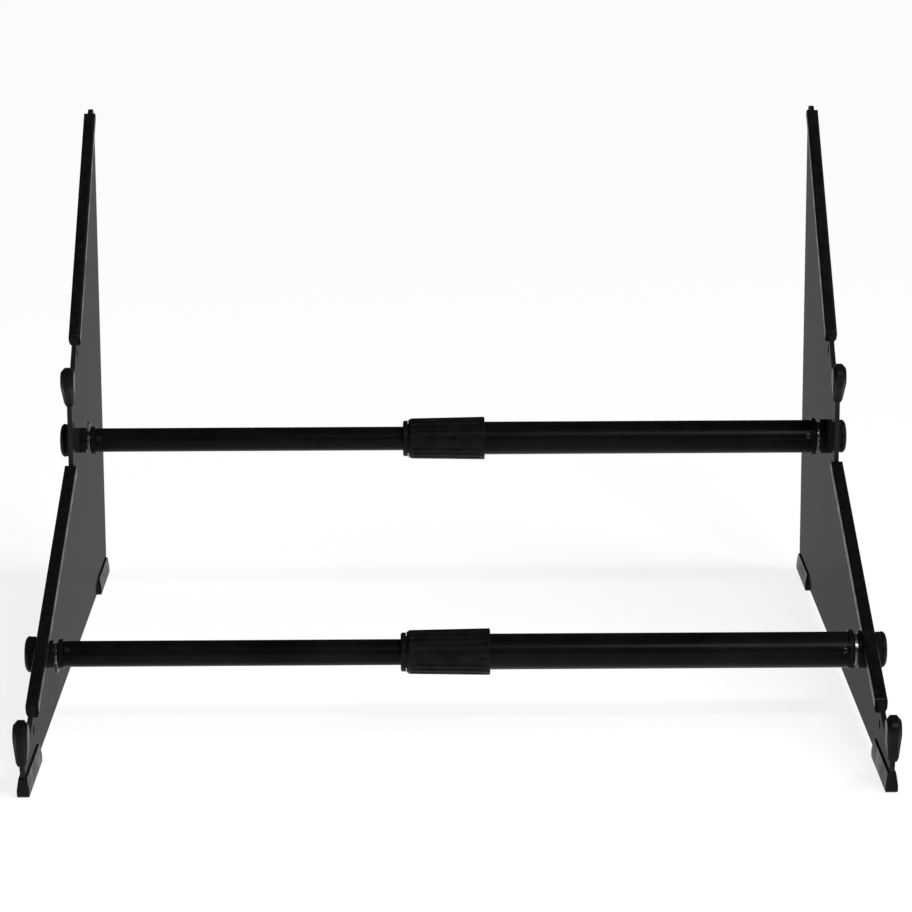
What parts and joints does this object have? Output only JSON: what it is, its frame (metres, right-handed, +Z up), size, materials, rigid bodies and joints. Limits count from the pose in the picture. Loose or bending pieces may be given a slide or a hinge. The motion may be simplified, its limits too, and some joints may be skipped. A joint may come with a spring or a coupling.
{
  "type": "two-tier tabletop instrument stand",
  "caption": "Black two-tier tabletop keyboard stand: rubber-edged steel side plates with hooks, joined by telescoping twist-lock crossbars with screw knobs.",
  "frame": {"origin": "on the table under the middle of the stand's overall box, with the four feet standing on Z = 0", "axes": "+X across the stand along both crossbars, -Y towards the player, +Z up"},
  "size_m": [0.674, 0.6654, 0.4314],
  "materials": {
    "plate_coat": "fine-textured satin black powder coat",
    "tube_coat": "smooth semi-gloss black coat",
    "rubber": "moulded black rubber",
    "black_plastic": "moulded black plastic",
    "bright_steel": "zinc-plated steel",
    "brass": "turned brass"
  },
  "bodies": {
    "right_frame": {"right_side_plate": "plate_coat", "right_lower_rest_trim": "rubber", "right_upper_rest_trim": "rubber", "right_lower_hook_cap": "rubber", "right_upper_hook_cap": "rubber", "right_front_foot": "rubber", "right_rear_foot": "rubber", "lower_outer_tube": "tube_coat", "lower_clutch_base": "black_plastic", "lower_clutch_collet": "black_plastic", "lower_right_boss": "black_plastic", "lower_right_plug": "black_plastic", "lower_right_insert": "brass", "lower_right_clip_ring": "bright_steel", "lower_right_plug_screw": "bright_steel", "upper_outer_tube": "tube_coat", "upper_clutch_base": "black_plastic", "upper_clutch_collet": "black_plastic", "upper_right_boss": "black_plastic", "upper_right_plug": "black_plastic", "upper_right_insert": "brass", "upper_right_clip_ring": "bright_steel", "upper_right_plug_screw": "bright_steel"},
    "left_frame": {"left_side_plate": "plate_coat", "left_lower_rest_trim": "rubber", "left_upper_rest_trim": "rubber", "left_lower_hook_cap": "rubber", "left_upper_hook_cap": "rubber", "left_front_foot": "rubber", "left_rear_foot": "rubber", "lower_inner_tube": "tube_coat", "lower_guide_bush": "black_plastic", "lower_left_boss": "black_plastic", "lower_left_plug": "black_plastic", "lower_left_insert": "brass", "lower_left_clip_ring": "bright_steel", "lower_left_plug_screw": "bright_steel", "upper_inner_tube": "tube_coat", "upper_guide_bush": "black_plastic", "upper_left_boss": "black_plastic", "upper_left_plug": "black_plastic", "upper_left_insert": "brass", "upper_left_clip_ring": "bright_steel", "upper_left_plug_screw": "bright_steel"},
    "lower_grip": {"lower_clutch_grip": "black_plastic"},
    "upper_grip": {"upper_clutch_grip": "black_plastic"},
    "lower_left_washer": {"lower_left_washer": "bright_steel"},
    "lower_left_knob": {"lower_left_knob": "black_plastic", "lower_left_stud": "bright_steel"},
    "lower_right_washer": {"lower_right_washer": "bright_steel"},
    "lower_right_knob": {"lower_right_knob": "black_plastic", "lower_right_stud": "bright_steel"},
    "upper_left_washer": {"upper_left_washer": "bright_steel"},
    "upper_left_knob": {"upper_left_knob": "black_plastic", "upper_left_stud": "bright_steel"},
    "upper_right_washer": {"upper_right_washer": "bright_steel"},
    "upper_right_knob": {"upper_right_knob": "black_plastic", "upper_right_stud": "bright_steel"}
  },
  "joints": [
    {"name": "width_slide", "type": "slide", "parent": "right_frame", "child": "left_frame", "axis": [1, 0, 0], "range_m": [-0.015, 0.22]},
    {"name": "lower_clutch_twist", "type": "hinge", "parent": "right_frame", "child": "lower_grip", "pos_m": [0, -0.1559, 0.06417], "axis": [1, 0, 0], "range_deg": [0, 180]},
    {"name": "upper_clutch_twist", "type": "hinge", "parent": "right_frame", "child": "upper_grip", "pos_m": [0, 0.13971, 0.1695], "axis": [1, 0, 0], "range_deg": [0, 180]},
    {"name": "lower_left_knob_travel", "type": "slide", "parent": "left_frame", "child": "lower_left_washer", "axis": [-1, 0, 0], "range_m": [-0.0005, 0.006]},
    {"name": "lower_left_knob_turn", "type": "hinge", "parent": "lower_left_washer", "child": "lower_left_knob", "pos_m": [-0.32, -0.1559, 0.06417], "axis": [-1, 0, 0], "range_deg": [0, 1440]},
    {"name": "lower_right_knob_travel", "type": "slide", "parent": "right_frame", "child": "lower_right_washer", "axis": [1, 0, 0], "range_m": [-0.0005, 0.006]},
    {"name": "lower_right_knob_turn", "type": "hinge", "parent": "lower_right_washer", "child": "lower_right_knob", "pos_m": [0.32, -0.1559, 0.06417], "axis": [1, 0, 0], "range_deg": [0, 1440]},
    {"name": "upper_left_knob_travel", "type": "slide", "parent": "left_frame", "child": "upper_left_washer", "axis": [-1, 0, 0], "range_m": [-0.0005, 0.006]},
    {"name": "upper_left_knob_turn", "type": "hinge", "parent": "upper_left_washer", "child": "upper_left_knob", "pos_m": [-0.32, 0.13971, 0.1695], "axis": [-1, 0, 0], "range_deg": [0, 1440]},
    {"name": "upper_right_knob_travel", "type": "slide", "parent": "right_frame", "child": "upper_right_washer", "axis": [1, 0, 0], "range_m": [-0.0005, 0.006]},
    {"name": "upper_right_knob_turn", "type": "hinge", "parent": "upper_right_washer", "child": "upper_right_knob", "pos_m": [0.32, 0.13971, 0.1695], "axis": [1, 0, 0], "range_deg": [0, 1440]}
  ],
  "couplings": [
    {"joint": "lower_left_knob_travel", "follows": "lower_left_knob_turn", "m_per_rad": 0.00019894},
    {"joint": "lower_right_knob_travel", "follows": "lower_right_knob_turn", "m_per_rad": 0.00019894},
    {"joint": "upper_left_knob_travel", "follows": "upper_left_knob_turn", "m_per_rad": 0.00019894},
    {"joint": "upper_right_knob_travel", "follows": "upper_right_knob_turn", "m_per_rad": 0.00019894}
  ]
}
